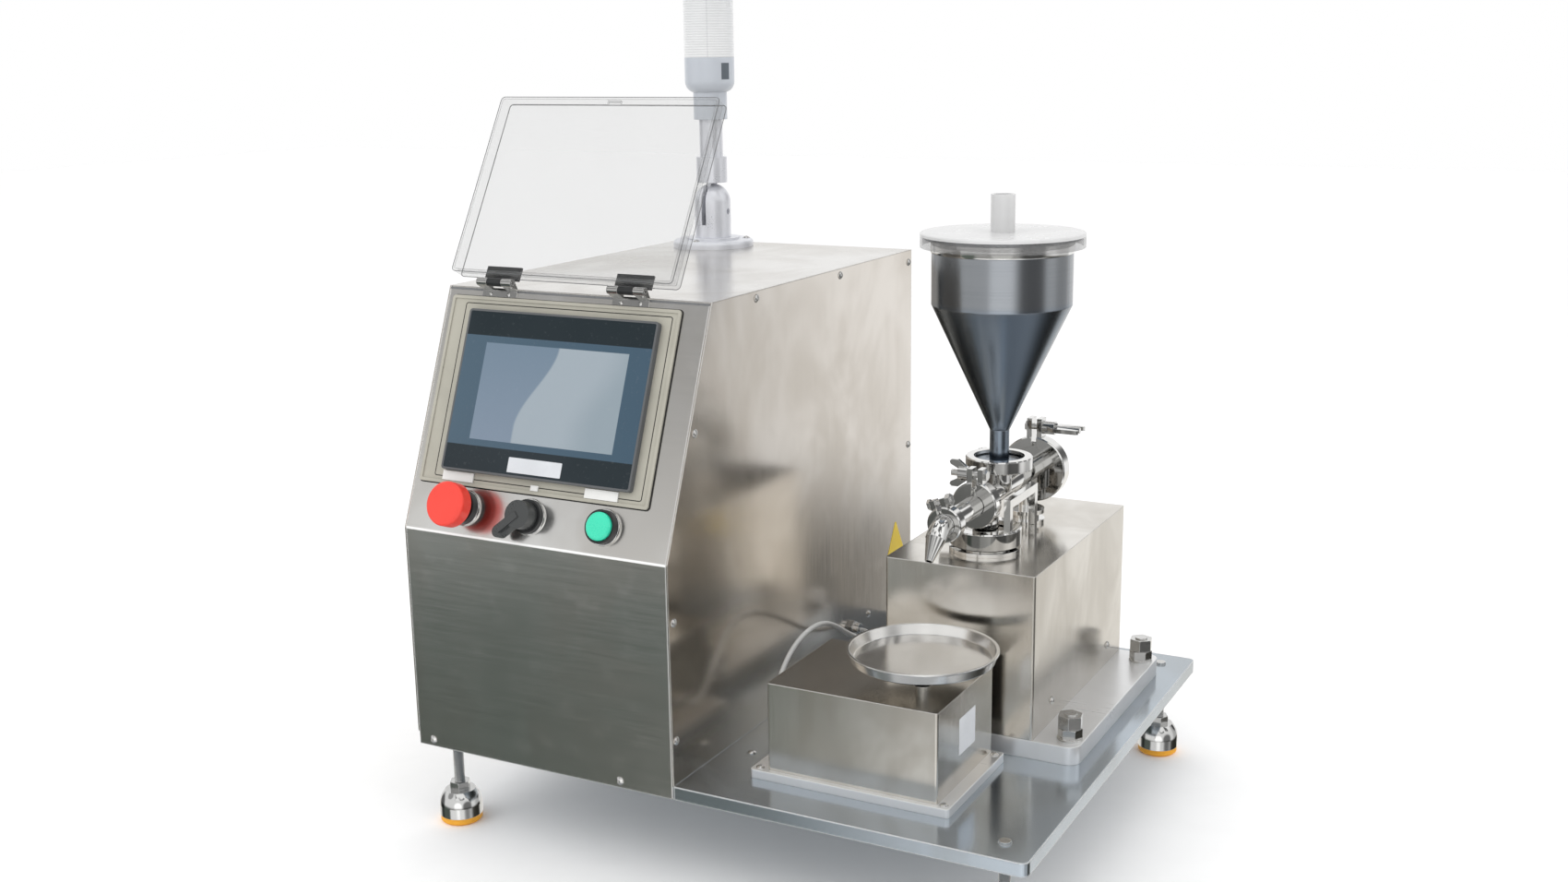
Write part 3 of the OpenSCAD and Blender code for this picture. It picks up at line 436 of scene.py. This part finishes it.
def plastic(name, base, rough, spec=0.5, grain=0.12, scale=900.0, edge=0.0006, glow=None, fade=0.9, coat=0.0,
            metal=0.0):
    """Moulded plastic or paint: fine moulded texture, slight colour drift, lighter edges that are partly
    handling wear and partly painted highlight
    """
    m = Mat(name)
    edge_wear_and_highlight = m.edge(edge)
    fine = m.noise(scale, (1, 1, 1), 2.0, 0.5)
    drift = m.noise(26.0, (1, 1, 1), 3.0, 0.5)
    col = m.mix(m.ramp(drift, 0.32, 0.70), shade(base, fade), base)
    col = m.mix(m.range(fine, 0.55, 0.75, 0.0, 0.10), col, shade(base, 0.7))
    # Painted highlight: the edges are lighter, partly for handling wear
    col = m.mix(m.times(edge_wear_and_highlight, 0.22), col, tuple(min(1.0, b * 1.3 + 0.06) for b in base))
    r = m.math("ADD", m.range(drift, 0.3, 0.7, rough - 0.05, rough + 0.05),
               m.range(fine, 0.3, 0.7, -0.03, 0.04))
    m.set(Base_Color=col, Roughness=r, Specular_IOR_Level=spec, Metallic=metal)
    if coat:
        m.set(Coat_Weight=coat, Coat_Roughness=0.08)
    if glow:
        m.set(Emission_Color=(*base, 1.0), Emission_Strength=glow)
    m.bump(fine, grain, 0.0002)
    return m.m


def clear_acrylic():
    """Clear sheet: faint scuffs, a trace of grey, more cover where one looks along the sheet, and edges
    darkened as painted shade
    """
    m = Mat("clear_acrylic")
    cut = m.edge(0.0011)
    scuff = m.noise(120.0, (1, 12, 1), 4.0, 0.6, turn=(0.4, 0.2, 0.7))
    drift = m.noise(14.0, (1, 1, 1), 3.0, 0.5)
    body = m.mix(m.ramp(drift, 0.3, 0.7), (0.24, 0.245, 0.245), (0.27, 0.275, 0.275))
    facing = m.add("LayerWeight")
    facing.inputs["Blend"].default_value = 0.25
    see = m.math("ADD", m.range(scuff, 0.55, 0.80, 0.125, 0.16),
                 m.range(facing.outputs["Facing"], 0.4, 1.0, 0.0, 0.35))
    # Painted shade: the edges are darker and less clear
    m.set(Base_Color=m.mix(cut, body, (0.13, 0.135, 0.135)), Alpha=m.range(cut, 0.0, 1.0, see, 0.72),
          Roughness=m.range(scuff, 0.55, 0.75, 0.06, 0.10), IOR=1.49)
    m.bump(scuff, 0.02, 0.0001)
    return m.m


def lamp_lens():
    """Frosted lamp tube with horizontal ribs, a moulded seam and a milky body"""
    m = Mat("clear_lens")
    z = m.along(Z)
    ribs = m.ripple(z, 2.6)
    drift = m.noise(20.0, (1, 1, 0.4), 3.0, 0.5)
    seam = m.span(m.along(X, P(77, 0, 0)), -0.6, 0.6, 0.4)
    col = m.mix(m.ramp(drift, 0.3, 0.7), (0.80, 0.81, 0.82), (0.88, 0.885, 0.89))
    # Painted shade: the troughs of the ribs are darker
    col = m.mix(m.range(ribs, -1.0, -0.2, 0.24, 0.0), col, (0.52, 0.53, 0.55))
    col = m.mix(m.times(seam, 0.35), col, (0.5, 0.51, 0.53))
    m.set(Base_Color=col, Roughness=m.range(drift, 0.3, 0.7, 0.26, 0.34), IOR=1.49,
          Transmission_Weight=0.15)
    m.bump(ribs, 0.4, 0.0005)
    return m.m


def hopper_lid_skin():
    """The lid's plate and knob are a pale, nearly opaque grey, partly haze and partly painted reflection, and
    its skirt is clear enough to show the hopper's rim
    """
    m = Mat("hopper_lid_skin")
    z = m.along(Z, P(0, 0, 464))
    skirt = m.span(z, -12.0, -0.2, 0.3)
    drift = m.noise(22.0, (1, 1, 1), 3.0, 0.5)
    # Painted reflection, partly haze: the plate and knob are a pale grey that hides most of what is behind
    col = m.mix(m.ramp(drift, 0.3, 0.7), grey(0.60), grey(0.66))
    col = m.mix(skirt, col, grey(0.22))
    m.set(Base_Color=col, Roughness=m.range(drift, 0.3, 0.7, 0.22, 0.30), IOR=1.45,
          Alpha=m.range(skirt, 0.0, 1.0, 0.97, 0.34))
    m.bump(drift, 0.05, 0.001)
    return m.m


def hopper_skin():
    """Spun and polished cone with fine turning rings. Its dark tone, one for the cone and one for the bowl,
    is painted reflection of a dark room, and its bright rim is partly wear and partly painted highlight
    """
    m = Mat("hopper_steel")
    edge_wear_and_highlight = m.edge(0.0010)
    z = m.along(Z)
    rings = m.noise(30.0, (0.15, 0.15, 40), 3.0, 0.5)
    drift = m.noise(9.0, (1, 1, 1), 2.0, 0.5)
    # Painted reflection: a dark tone for the dark room the steel mirrors, one tone for the cone and one for
    # the bowl above
    upper = m.ramp(z, 480.0, 492.0)
    cone = m.mix(m.ramp(drift, 0.3, 0.7), (0.205, 0.245, 0.295), (0.235, 0.275, 0.325))
    bowl = m.mix(m.ramp(drift, 0.3, 0.7), (0.27, 0.285, 0.305), (0.30, 0.315, 0.33))
    col = m.mix(upper, cone, bowl)
    col = m.mix(m.range(rings, 0.5, 0.75, 0.0, 0.14), col, (0.13, 0.15, 0.18))
    # Painted highlight: the rim and edges are lighter, partly for wear
    col = m.mix(m.times(edge_wear_and_highlight, 0.35), col, (0.75, 0.76, 0.77))
    m.set(Base_Color=col, Metallic=1.0, Roughness=m.range(rings, 0.3, 0.7, 0.20, 0.25))
    m.bump(rings, 0.02, 0.0001)
    return m.m


def lamp_housing():
    """Moulded lamp base with painted shade: a little darker low down, lighter where it turns up to the light
    """
    m = Mat("lamp_grey")
    edge_wear_and_highlight = m.edge(0.0010)
    fine = m.noise(900.0, (1, 1, 1), 2.0, 0.5)
    drift = m.noise(26.0, (1, 1, 1), 3.0, 0.5)
    # Painted shade: the housing is darker towards the bottom
    low = m.range(m.along(Z), 560.0, 705.0, 1.0, 0.0)
    col = m.mix(m.times(low, 0.35), (0.50, 0.53, 0.575), (0.41, 0.425, 0.45))
    col = m.mix(m.range(drift, 0.32, 0.70, 0.12, 0.0), col, (0.40, 0.42, 0.46))
    # Painted highlight: the edges are lighter, partly for wear
    col = m.mix(m.times(edge_wear_and_highlight, 0.35), col, (0.78, 0.80, 0.83))
    m.set(Base_Color=col, Roughness=m.range(drift, 0.3, 0.7, 0.28, 0.36), Specular_IOR_Level=0.5)
    m.bump(fine, 0.04, 0.0002)
    return m.m


def screen_face():
    """Panel glass: black borders, a dim blue strip and a lighter picture area with a painted soft reflection
    """
    m = Mat("screen_face")
    zero = on_panel(0, 0, 0)
    u = m.along(PU, zero)
    v = m.along(PV, zero)
    fleck = m.noise(300.0, (1, 1, 1), 2.0, 0.5)
    drift = m.noise(9.0, (1, 1, 1), 2.0, 0.5)
    border = m.mix(m.ramp(drift, 0.3, 0.7), (0.018, 0.026, 0.031), (0.024, 0.032, 0.038))
    strip = m.mix(m.range(u, 34.0, 235.0, 0.0, 1.0), (0.070, 0.110, 0.148), (0.052, 0.090, 0.128))
    area = m.mix(m.range(v, 86.0, 175.0, 0.0, 1.0), (0.185, 0.235, 0.300), (0.150, 0.205, 0.265))
    # Painted reflection: a lighter slanted band over the picture area, and a softer one beside it
    lean = m.math("ADD", u, m.math("MULTIPLY", m.ramp(v, 100.0, 175.0), -34.0))
    painted_glare = m.ramp(lean, 103.0, 106.0)
    area = m.mix(painted_glare, area, (0.300, 0.348, 0.388))
    area = m.mix(m.times(m.range(lean, 150.0, 190.0, 0.0, 0.5, True), painted_glare), area, (0.195, 0.250, 0.285))
    col = m.mix(m.span(v, 80.5, 180.6, 0.3), border, strip)
    col = m.mix(m.times(m.span(v, 86.4, 174.4, 0.3), m.span(u, 59.0, 211.5, 0.3)), col, area)
    col = m.mix(m.range(fleck, 0.62, 0.80, 0.0, 0.04), col, grey(0.5))
    m.set(Base_Color=col, Roughness=m.range(drift, 0.3, 0.7, 0.12, 0.18), Specular_IOR_Level=0.22,
          IOR=1.45)
    m.bump(fleck, 0.02, 0.0001)
    return m.m


# ------------------------------------------------------------------ cable
# From the weigher's gland to the cabinet's, in the machine frame
CABLE_D = 0.0046
cable_mm = [(328, 110, 42), (322, 111, 44), (317, 116, 53), (315, 126, 67), (315, 138, 81), (316, 154, 93),
            (317, 174, 100), (317, 196, 101), (315, 220, 96), (313, 244, 86), (311, 268, 73), (309, 292, 60),
            (307, 314, 50), (305, 332, 45), (301, 345, 44), (295, 350, 44), (290, 350, 44)]
cable_path = spline([P(*p) for p in cable_mm], 3)
cable = sweep("weigher_cable", cable_path, CABLE_D / 2)
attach(cable, "machine")
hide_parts("scale_cable")

# ------------------------------------------------------------------ materials
sheet_side = steel("sheet_side", (0.78, 0.735, 0.68), 0.16, (30, 30, 1), edge=0.0016, wave=0.05,
                   bright=0.8, mark=0.03)
# sheet_front also carries a painted highlight line along the knee fold
sheet_front = steel("sheet_front", (0.70, 0.695, 0.68), 0.20, (1, 30, 30), edge=0.0020, wave=0.06,
                    bright=0.95, matt_edge_highlight=0.9, fold=P(0, 0, KNEE_Z))
sheet_top = steel("sheet_top", (0.76, 0.745, 0.72), 0.24, (30, 1, 30), wave=0.06)
sheet_box = steel("sheet_box", (0.76, 0.735, 0.69), 0.18, (30, 30, 1), wave=0.10, vary=0.16, cloud=11.0,
                  mark=0.0, matt_edge_highlight=0.4)
plate_steel = steel("plate_steel", (0.47, 0.525, 0.58), 0.16, (1, 30, 30), edge=0.0022, wave=0.03,
                    vary=0.06, bright=1.0, mark=0.02, matt_edge_highlight=1.0, metal=0.92)
alu_block = steel("alu_block", (0.86, 0.865, 0.87), 0.30, (1, 60, 60), edge=0.0016, wave=0.05, vary=0.05,
                  tint=(0.98, 0.98, 0.98), bright=1.0, mark=0.02, matt_edge_highlight=0.9, metal=0.7)
polished = polish("polished_cast", (0.84, 0.835, 0.82), 0.06)
# pump_chrome and turned_steel carry painted shade on the faces that look to the machine's front
pump_chrome = polish("pump_chrome", (0.84, 0.835, 0.82), 0.05, painted_front_shade=0.62)
turned = polish("turned_steel", (0.72, 0.715, 0.70), 0.15, painted_front_shade=0.4)
dish_steel = polish("dish_steel", (0.76, 0.75, 0.73), 0.16, edge=0.0014, wave=0.04, bright=0.9)
screws = polish("screw_steel", (0.66, 0.655, 0.64), 0.20, edge=0.0003)
foot_steel = polish("foot_steel", (0.66, 0.66, 0.65), 0.10)
stud_steel = polish("stud_steel", (0.64, 0.64, 0.63), 0.20, thread=(1.5, 39.5, 83.0))
hopper_steel = hopper_skin()
beige = plastic("frame_beige", (0.42, 0.405, 0.345), 0.42, grain=0.06, spec=0.3)
black = plastic("black_plastic", (0.018, 0.019, 0.020), 0.32, spec=0.4)
knob_black = plastic("knob_black", (0.040, 0.043, 0.043), 0.28, spec=0.6)
dark_paint = plastic("grey_paint", (0.10, 0.105, 0.11), 0.5)
lamp_grey = lamp_housing()
lamp_pale = plastic("lamp_pale", (0.72, 0.73, 0.77), 0.32, grain=0.03, metal=0.4)
white = plastic("white_plastic", (0.80, 0.80, 0.78), 0.4, grain=0.05)
valve = plastic("valve_white", (0.86, 0.86, 0.83), 0.35, grain=0.04)
red = plastic("red_plastic", (0.86, 0.050, 0.030), 0.36, grain=0.04, coat=0.2)
# The green button has a faint glow in its colour, painted light
green = plastic("green_plastic", (0.035, 0.66, 0.42), 0.30, grain=0.03, glow=0.08, coat=0.3)
orange = plastic("orange_rubber", (0.90, 0.42, 0.03), 0.6, grain=0.2)
rubber = plastic("black_rubber", (0.020, 0.020, 0.019), 0.65, grain=0.25, spec=0.3)
cable_skin = plastic("cable_skin", (0.66, 0.66, 0.65), 0.45, grain=0.08)
lid_skin = hopper_lid_skin()
paper = plastic("label_paper", (0.66, 0.68, 0.71), 0.5, grain=0.05, scale=400.0)
paper_dark = plastic("label_dark", (0.10, 0.12, 0.14), 0.45, grain=0.05, scale=400.0)
# A dark colour for painted shade lines: the lid's edges and the seam below the top sheet
painted_dark_line = plastic("painted_dark_line", (0.16, 0.165, 0.17), 0.3, grain=0.03, scale=400.0)
yellow = plastic("label_yellow", (0.86, 0.62, 0.03), 0.45, grain=0.05, scale=400.0)

finish = {
    "base_plate": plate_steel, "front_skin": sheet_front, "top_panel": sheet_top,
    "side_panel_left": sheet_side, "side_panel_right": sheet_side, "back_panel": sheet_top,
    "button_screws": screws, "screen_frame": beige, "lid_catches": white, "screen_housing": dark_paint,
    "screen_glass": screen_face(), "hinge_leaves": turned, "hinge_pins": polished, "lid_leaves": black,
    "control_lid": clear_acrylic(), "switch_collars": black, "stop_stem": black, "stop_cap": red,
    "selector_knob": knob_black, "start_button": green, "electrics": dark_paint, "power_inlet": black,
    "power_rocker": red, "tower_flange": lamp_pale, "tower_bracket": lamp_pale,
    "tower_collar": lamp_pale, "tower_housing": lamp_grey, "tower_lens": lamp_lens(),
    "tower_core": white, "foot_studs": stud_steel, "foot_domes": foot_steel, "foot_pads": orange,
    "scale_plate": alu_block, "scale_cover": sheet_box, "load_cell": alu_block, "scale_post": turned,
    "scale_dish": dish_steel, "cable_glands": turned, "scale_cable": cable_skin,
    "drive_plate": alu_block, "drive_bolts": turned, "drive_housing": sheet_box,
    "drive_frame": alu_block, "drive_motor": dark_paint, "drive_screw": turned, "carriage": alu_block,
    "piston": valve, "pump_cylinder": polished, "pump_body": pump_chrome, "inlet_poppet": valve,
    "outlet_poppet": valve, "outlet_nozzle": pump_chrome, "pipe_clamps": pump_chrome,
    "clamp_bolts": turned, "wing_nut_mid": pump_chrome, "wing_nut_rear": pump_chrome,
    "pump_supports": polished, "hopper": hopper_steel, "hopper_spout": hopper_steel,
    "hopper_lid": lid_skin,
}
for name, obj in nodes.items():
    obj.data.materials.clear()
    obj.data.materials.append(finish[name])
cable.data.materials.append(cable_skin)


def piece(obj, mat, body="machine"):
    """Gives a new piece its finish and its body"""
    obj.data.materials.append(mat)
    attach(obj, body)
    return obj


# ------------------------------------------------------------------ panel details
piece(slab("screen_label", on_panel(106, 60.5, 6.96), PU, PV, 57, 13.5, 0.35, 0.8), paper)
piece(strip_loop("frame_seal", on_panel(0, 0, 0.0), PU, PV, (7.6, 43.6, 253.4, 217.2), 3.2, 1.3, 0.9),
      rubber)
piece(strip_loop("frame_groove", on_panel(0, 0, 1.45), PU, PV, (24, 50.5, 245, 210.5), 2.0, 0.8, 0.25),
      rubber)
# A dark strip as painted shade: the shadowed gap where the sloped sheet meets the top sheet
piece(slab("panel_seam", on_panel(1.5, 222.6, -0.02), PU, PV, 277, 1.9, 0.14, 0.6), painted_dark_line)
# The bright nuts that hold the switches
for nm, u, ri, ro, h in (("stop_ring", 63.5, 15.05, 16.4, 2.6), ("selector_ring", 134, 15.05, 16.4, 2.2),
                         ("start_ring", 212.5, 14.85, 16.2, 2.6)):
    piece(lathe(nm, [(ri, 0), (ro, 0), (ro, h * 0.6), (ro - 0.5, h), (ri, h)], on_panel(u, 24.5, 0), PN),
          polished)

# ------------------------------------------------------------------ lid edges
# The open lid leans 30 degrees back from upright about its hinge, and dark strips on its cut edges are
# painted shade
LEAN = math.radians(30)
LY = Vector((0, math.sin(LEAN), math.cos(LEAN)))
LZ = PU.cross(LY)
hinge = on_panel(0, 229, 10.6)
for nm, z, inset, wide, thick in (("lid_rim_front", 6.9, 0.0, 0.5, 0.5),
                                  ("lid_rim_back", -7.25, 0.4, 0.7, 0.25)):
    rect = (12 + inset, 6 + inset, 248 - inset, 182 - inset)
    piece(strip_loop(nm, hinge + LZ * z / MM, PU, LY, rect, 4 - inset, wide, thick), painted_dark_line,
          "lid")

# ------------------------------------------------------------------ stickers, rim and pins
piece(slab("weigher_label", P(503, 98, 45), Y, Z, 36, 33, 0.2, 1.2), paper)
triangle = [(1.5, 0), (42.5, 0), (44, 2.5), (23.2, 38.2), (20.8, 38.2), (0, 2.5)]
piece(plate("caution_label", P(280, 438, 92), Y, Z, X, triangle, 0.2), yellow)
lamp_lo, lamp_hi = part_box("tower_housing")
lamp_axis = (lamp_lo + lamp_hi) / 2
lamp_r = (lamp_hi.x - lamp_lo.x) / 2 * MM
lamp_base = Vector((lamp_axis.x, lamp_axis.y, P(0, 0, 598).z))
piece(curved_patch("lamp_label", lamp_base, lamp_r + 0.05, -31, -9, 17, 0.2), paper_dark,
      "tower")
rim_lo, rim_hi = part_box("hopper")
rim_axis = Vector(((rim_lo.x + rim_hi.x) / 2, (rim_lo.y + rim_hi.y) / 2, P(0, 0, 449).z))
rim = [(63.55, 0), (64.3, 0.5), (64.5, 1.4), (64.5, 10.8), (63.55, 11.6)]
piece(lathe("hopper_rim", rim, rim_axis, Z, sides=96), polished)
for k, x in enumerate((85.5, 92.5, 99.5)):
    piece(slab(f"socket_pin_{k + 1}", P(x - 1, 485, 58 + 4 * (k % 2)), X, Z, 2, 5, -12, 0.4), turned)

# ------------------------------------------------------------------ room
floor = mesh_object("floor", [(-9, -9, 0), (9, -9, 0), (9, 9, 0), (-9, 9, 0)], [(0, 1, 2, 3)])
fm = Mat("floor")
speck = fm.noise(30.0, (1, 1, 1), 3.0, 0.5)
fm.set(Base_Color=fm.mix(fm.range(speck, 0.3, 0.7, 0.0, 1.0), grey(0.94), grey(0.96)), Roughness=0.8,
       Specular_IOR_Level=0.1)
floor.data.materials.append(fm.m)
floor.visible_glossy = False

# Studio round the machine: plain white to the eye and for soft light. What metal mirrors is a white room with
# a darker floor beyond the sweep, a mottled ceiling, and the patches below.
world = bpy.data.worlds.new("studio")
world.use_nodes = True
w = Nodes(world.node_tree)
way = w.add("TexCoord").outputs["Generated"]
xyz = w.add("SeparateXYZ")
w.link(way, xyz.inputs[0])
wx, wy, wz = xyz.outputs


def lobe(vec, outer, inner, dim):
    """Multiplier that goes from 1 outside to dim inside a round patch of the room, given by cosines"""
    return w.range(w.dot_with(way, Vector(vec).normalized()), outer, inner, 1.0, dim, True)


behind = w.ramp(wy, -0.2, 0.3)
low = w.ramp(wz, w.range(behind, 0.0, 1.0, -0.17, -0.225), w.range(behind, 0.0, 1.0, -0.275, -0.29))
under = w.ramp(wz, -0.60, -0.85)
pale_front = w.ramp(wx, -0.46, -0.31)
pale_low = w.ramp(wz, -0.33, -0.42)
front = w.mix(pale_front, (0.110, 0.129, 0.113), w.mix(pale_low, (0.32, 0.32, 0.31), grey(1.15)))
rear = w.mix(w.ramp(wx, 0.345, 0.405), (0.98, 0.96, 0.92), (0.060, 0.057, 0.048))
ground = w.mix(under, w.mix(behind, front, rear), (0.34, 0.36, 0.38))
mirror = w.mix(low, grey(1.0), ground)
cells = w.add("TexVoronoi", feature="F1")
cells.inputs["Scale"].default_value = 6.0
w.link(way, cells.inputs["Vector"])
dim_cell = w.range(w.dot_with(cells.outputs["Color"], (1, 0, 0)), 0.30, 0.34, 0.14, 1.20)
over_panel = w.dot_with(way, Vector((-0.53, -0.70, 0.45)).normalized())
aloft = w.times(w.ramp(wz, 0.38, 0.55), w.ramp(over_panel, 0.90, 0.80))
room = w.range(aloft, 0.0, 1.0, 1.0, dim_cell)
corner = w.times(w.range(wx, 0.43, 0.53, 0.0, 0.40, True), w.ramp(wy, 0.3, 0.6))
# Direction, the cosines where a patch starts and is full, and its strength: a dark flag on either side, a dim
# strip over the panel, a bright panel behind the camera and a dark corner behind the machine
patches = [lobe((-0.98, -0.16, -0.12), 0.90, 0.97, 0.15), lobe((0.94, -0.33, -0.12), 0.88, 0.96, 0.22),
           lobe((-0.50, -0.62, 0.60), 0.950, 0.973, 0.42), lobe((0.354, -0.935, -0.10), 0.925, 0.955, 1.7),
           lobe((0.48, 0.84, 0.24), 0.945, 0.985, 0.12)]
level = w.times(*patches, w.math("SUBTRACT", 1.0, corner), room)
path = w.add("LightPath")
ray = path.outputs["Is Glossy Ray"]
plain = w.range(path.outputs["Is Camera Ray"], 0.0, 1.0, 1.07, 1.0)
back = w.add("Background")
w.link(w.mix(ray, grey(1.0), mirror), back.inputs["Color"])
w.link(w.range(ray, 0.0, 1.0, plain, level), back.inputs["Strength"])
w.link(back.outputs[0], w.add("OutputWorld").inputs["Surface"])
bpy.context.scene.world = world


def softbox(name, at, target, size, power):
    """A soft area light that metal doesn't mirror"""
    li = bpy.data.lights.new(name, "AREA")
    li.shape = "RECTANGLE"
    li.size, li.size_y = size
    li.energy = power
    o = bpy.data.objects.new(name, li)
    at, target = Vector(at), Vector(target)
    o.matrix_world = Matrix.Translation(at) @ (target - at).to_track_quat("-Z", "Y").to_matrix().to_4x4()
    o.visible_glossy = False
    bpy.context.scene.collection.objects.link(o)


softbox("key", (-1.3, -1.7, 1.9), (0, 0, 0.35), (1.4, 1.4), 11)
softbox("fill", (1.9, -0.6, 1.2), (0, 0, 0.3), (0.9, 1.6), 4)
softbox("top", (0.1, 0.5, 2.2), (0, 0, 0.3), (1.6, 1.2), 6)

bpy.context.scene.view_settings.view_transform = "Standard"
bpy.context.scene.view_settings.look = "None"
bpy.context.scene.view_settings.exposure = 0.0
